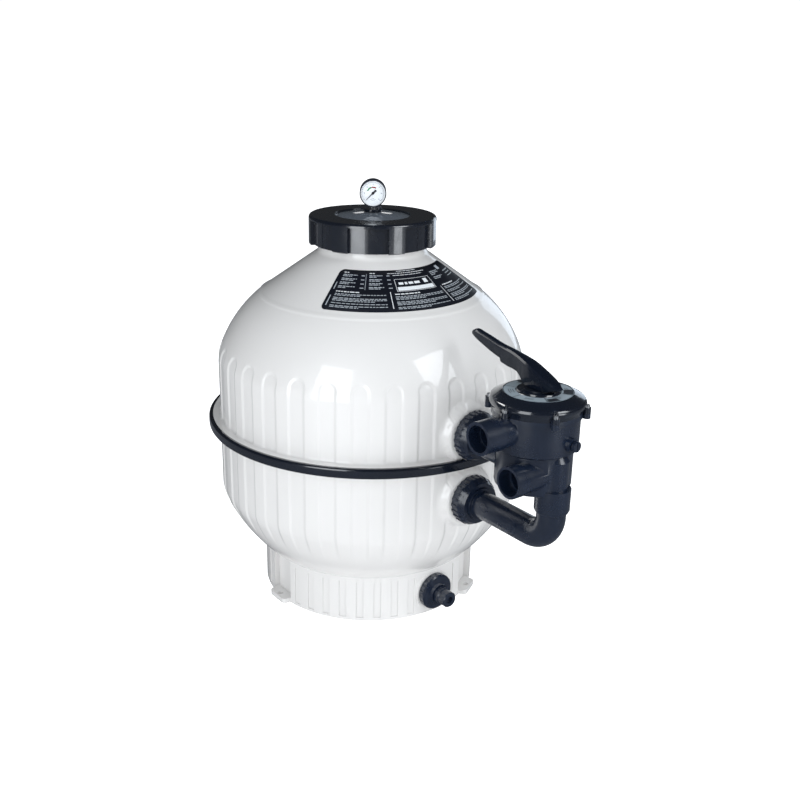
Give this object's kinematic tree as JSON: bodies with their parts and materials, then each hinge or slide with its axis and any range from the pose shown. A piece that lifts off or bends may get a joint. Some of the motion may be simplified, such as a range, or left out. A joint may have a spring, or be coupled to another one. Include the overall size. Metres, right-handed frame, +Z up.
{
  "type": "sand filter tank",
  "caption": "Round white sand filter tank on a skirt base, with a screw-ring lid and pressure gauge on top and a black side-mounted multiport valve.",
  "frame": {"origin": "floor level on the tank's vertical axis", "axes": "+Z up along the tank's axis, +X towards the multiport valve, -Y towards the pump and return ports"},
  "size_m": [0.8755, 0.6444, 0.8202],
  "materials": {
    "tank_white": "glossy off-white moulded shell",
    "black_gloss": "glossy black moulded plastic",
    "black_satin": "satin black moulded plastic",
    "grey_plastic": "satin grey plastic",
    "white_plastic": "satin white plastic",
    "smoky_clear": "clear smoky plastic",
    "clear_lens": "clear lens",
    "seal_rubber": "black seal rubber",
    "stainless": "stainless steel",
    "brass": "plain brass",
    "label_print": "printed film",
    "silver_label": "printed silver film",
    "dial_white": "white enamelled dial"
  },
  "bodies": {
    "tank": {"upper_shell": "tank_white", "lower_shell": "tank_white", "base_skirt": "tank_white", "trim_ring": "black_gloss", "tank_label": "label_print", "lid_oring": "seal_rubber", "diffuser_pipe": "white_plastic", "diffuser": "white_plastic", "collector_pipe": "white_plastic", "collector_hub": "grey_plastic", "laterals": "white_plastic", "upper_bulkhead": "black_satin", "lower_bulkhead": "black_satin", "bulkhead_gaskets": "seal_rubber", "union_orings": "seal_rubber", "elbow_pipe": "black_satin", "valve_body": "black_satin", "valve_lid": "black_gloss", "valve_lid_oring": "seal_rubber", "valve_lid_bolts": "stainless", "valve_lid_inserts": "brass", "valve_label": "silver_label", "spider_gasket": "seal_rubber", "drain_pipe": "black_satin", "drain_gasket": "seal_rubber", "drain_strainer": "white_plastic"},
    "lid_unit": {"lid": "smoky_clear", "lid_boss": "black_gloss", "lid_boss_gasket": "seal_rubber", "lid_boss_nut": "black_satin", "gauge_stem": "stainless", "gauge_case": "black_satin", "gauge_dial": "dial_white", "gauge_lens": "clear_lens", "gauge_bourdon_tube": "brass"},
    "slip": {"slip_ring": "white_plastic"},
    "clamp_ring": {"lid_ring": "black_gloss"},
    "needle": {"gauge_needle": "label_print"},
    "air_relief": {"air_relief_screw": "black_satin"},
    "upper_nut": {"union_nut_upper": "black_satin"},
    "lower_nut": {"union_nut_lower": "black_satin"},
    "selector": {"thrust_washer": "black_satin", "valve_spring": "stainless"},
    "stem": {"diverter": "grey_plastic", "valve_stem": "stainless", "stem_orings": "seal_rubber", "handle_pin": "stainless"},
    "handle_lever": {"handle": "black_gloss"},
    "bleed": {"bleed_plug": "black_satin", "bleed_plug_oring": "seal_rubber"},
    "drain_lock_nut": {"drain_nut": "black_satin"},
    "drain_plug": {"drain_cap": "black_satin", "drain_cap_seal": "seal_rubber"}
  },
  "joints": [
    {"name": "lid_lift", "type": "slide", "parent": "tank", "child": "lid_unit", "axis": [0, 0, 1], "range_m": [0, 0.15]},
    {"name": "ring_rise", "type": "slide", "parent": "lid_unit", "child": "slip", "axis": [0, 0, 1], "range_m": [0, 0.0091]},
    {"name": "ring_turn", "type": "hinge", "parent": "slip", "child": "clamp_ring", "pos_m": [0, 0, 0.73], "axis": [0, 0, 1], "range_deg": [0, 540]},
    {"name": "gauge_pointer", "type": "hinge", "parent": "lid_unit", "child": "needle", "pos_m": [0, 0, 0.795], "axis": [-0.809, 0.5878, 0], "range_deg": [0, 270]},
    {"name": "air_relief_turn", "type": "hinge", "parent": "lid_unit", "child": "air_relief", "pos_m": [0.00705, 0.00971, 0.767], "axis": [0, 0, 1], "range_deg": [0, 720]},
    {"name": "upper_nut_turn", "type": "hinge", "parent": "tank", "child": "upper_nut", "pos_m": [0.326, 0, 0.407], "axis": [1, 0, 0], "continuous": true},
    {"name": "lower_nut_turn", "type": "hinge", "parent": "tank", "child": "lower_nut", "pos_m": [0.326, 0, 0.282], "axis": [1, 0, 0], "continuous": true},
    {"name": "selector_turn", "type": "hinge", "parent": "tank", "child": "selector", "pos_m": [0.465, 0, 0.539], "axis": [0, 0, 1], "continuous": true},
    {"name": "stem_rise", "type": "slide", "parent": "selector", "child": "stem", "axis": [0, 0, 1], "range_m": [0, 0.0081], "deforming": ["valve_spring"]},
    {"name": "handle_press", "type": "hinge", "parent": "stem", "child": "handle_lever", "pos_m": [0.465, 0, 0.551], "axis": [0, -1, 0], "range_deg": [0, 20]},
    {"name": "bleed_turn", "type": "hinge", "parent": "tank", "child": "bleed", "pos_m": [0.53971, 0.00654, 0.462], "axis": [0.9962, 0.0872, 0], "range_deg": [0, 720]},
    {"name": "drain_nut_turn", "type": "hinge", "parent": "tank", "child": "drain_lock_nut", "pos_m": [0.226, 0, 0.047], "axis": [1, 0, 0], "continuous": true},
    {"name": "drain_cap_turn", "type": "hinge", "parent": "tank", "child": "drain_plug", "pos_m": [0.25, 0, 0.047], "axis": [1, 0, 0], "continuous": true}
  ],
  "couplings": [
    {"joint": "ring_rise", "follows": "ring_turn", "m_per_rad": 0.00095493},
    {"joint": "stem_rise", "follows": "handle_press", "m_per_rad": 0.022918}
  ]
}
